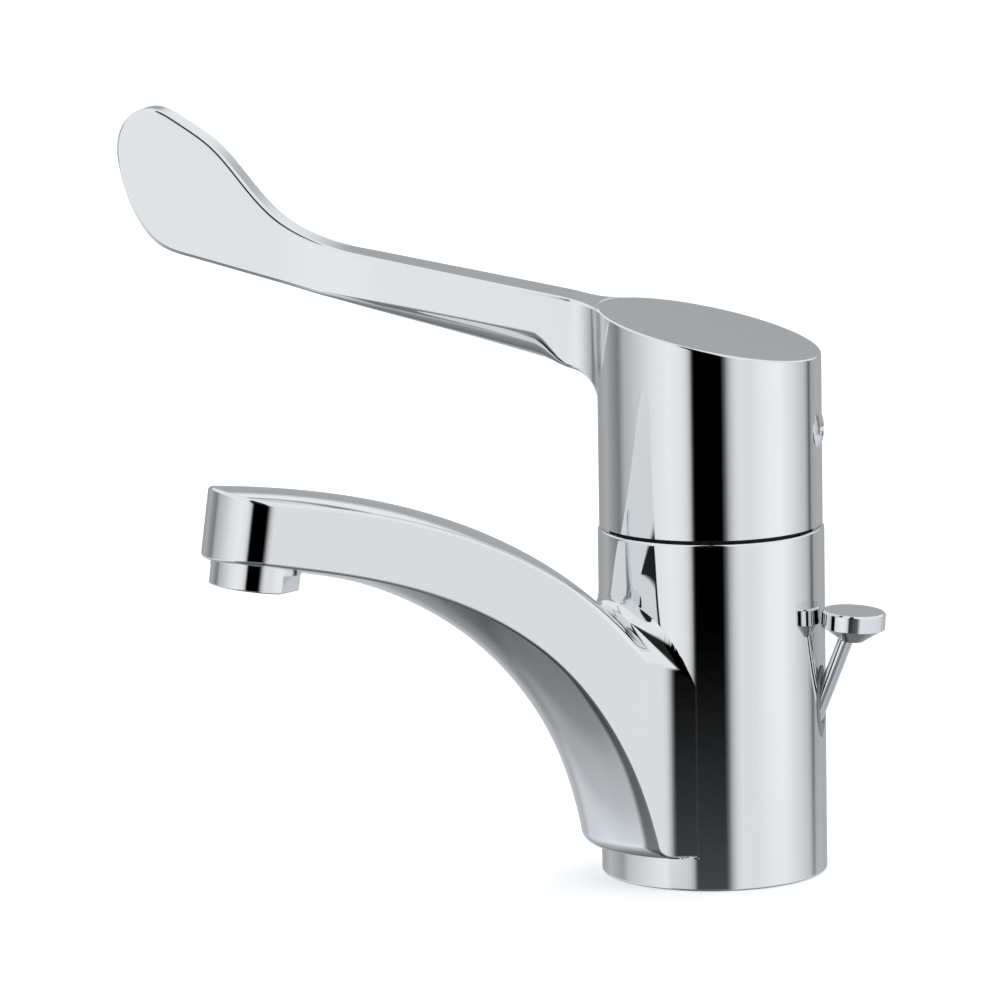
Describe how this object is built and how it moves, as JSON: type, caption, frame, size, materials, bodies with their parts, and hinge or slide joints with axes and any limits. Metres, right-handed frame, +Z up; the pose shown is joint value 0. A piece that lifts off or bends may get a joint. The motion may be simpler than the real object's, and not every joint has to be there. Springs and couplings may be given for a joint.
{
  "type": "basin mixer tap",
  "caption": "Single-lever basin mixer tap: round column, arched spout with aerator, slanted cap with long flat care lever, and a pull rod with round knob behind.",
  "frame": {"origin": "centre of the column's underside, on the deck", "axes": "+Z up along the column, -Y along the spout, +X to its right-hand side seen from above with the spout pointing down the page"},
  "size_m": [0.118, 0.1515, 0.1677],
  "materials": {
    "chrome": "polished chrome plating",
    "steel": "bright stainless",
    "brass": "machined",
    "black_rubber": "matt",
    "black_plastic": "matt moulded",
    "grey_plastic": "moulded",
    "white_plastic": "moulded",
    "red_plastic": "moulded",
    "ceramic": "lapped ceramic"
  },
  "bodies": {
    "tap_body": {"mixer_body": "chrome", "base_seal": "black_rubber", "aerator_housing": "chrome", "aerator_insert": "white_plastic", "aerator_screen": "steel", "aerator_washer": "black_rubber", "cartridge_base": "grey_plastic", "cartridge_seals": "black_rubber", "fixed_ceramic_disc": "ceramic", "cartridge_shell": "grey_plastic", "cartridge_nut": "brass", "temperature_stop_ring": "red_plastic", "glide_ring": "black_plastic", "rod_guide_bush": "black_plastic"},
    "rotor": {"cartridge_rotor": "white_plastic", "stem_pivot_pin": "steel"},
    "lever": {"handle": "chrome", "cartridge_stem": "steel", "stem_adapter": "black_plastic", "handle_screw": "chrome", "index_button": "chrome"},
    "disc_carrier": {"disc_carrier": "white_plastic", "moving_ceramic_disc": "ceramic"},
    "lift_rod": {"lift_rod": "chrome", "lift_knob": "chrome"}
  },
  "joints": [
    {"name": "temperature_turn", "type": "hinge", "parent": "tap_body", "child": "rotor", "pos_m": [0, 0, 0.0655], "axis": [0, 0, 1], "range_deg": [-10, 90]},
    {"name": "flow_lift", "type": "hinge", "parent": "rotor", "child": "lever", "pos_m": [0, 0, 0.0655], "axis": [-0.766, 0.6428, 0], "range_deg": [0, 22]},
    {"name": "disc_slide", "type": "slide", "parent": "rotor", "child": "disc_carrier", "axis": [-0.6428, -0.766, 0], "range_m": [0, 0.0038]},
    {"name": "pull_rod_slide", "type": "slide", "parent": "tap_body", "child": "lift_rod", "axis": [0.2522, 0.2704, 0.9291], "range_m": [0, 0.015]}
  ],
  "couplings": [
    {"joint": "disc_slide", "follows": "flow_lift", "m_per_rad": 0.00976}
  ]
}
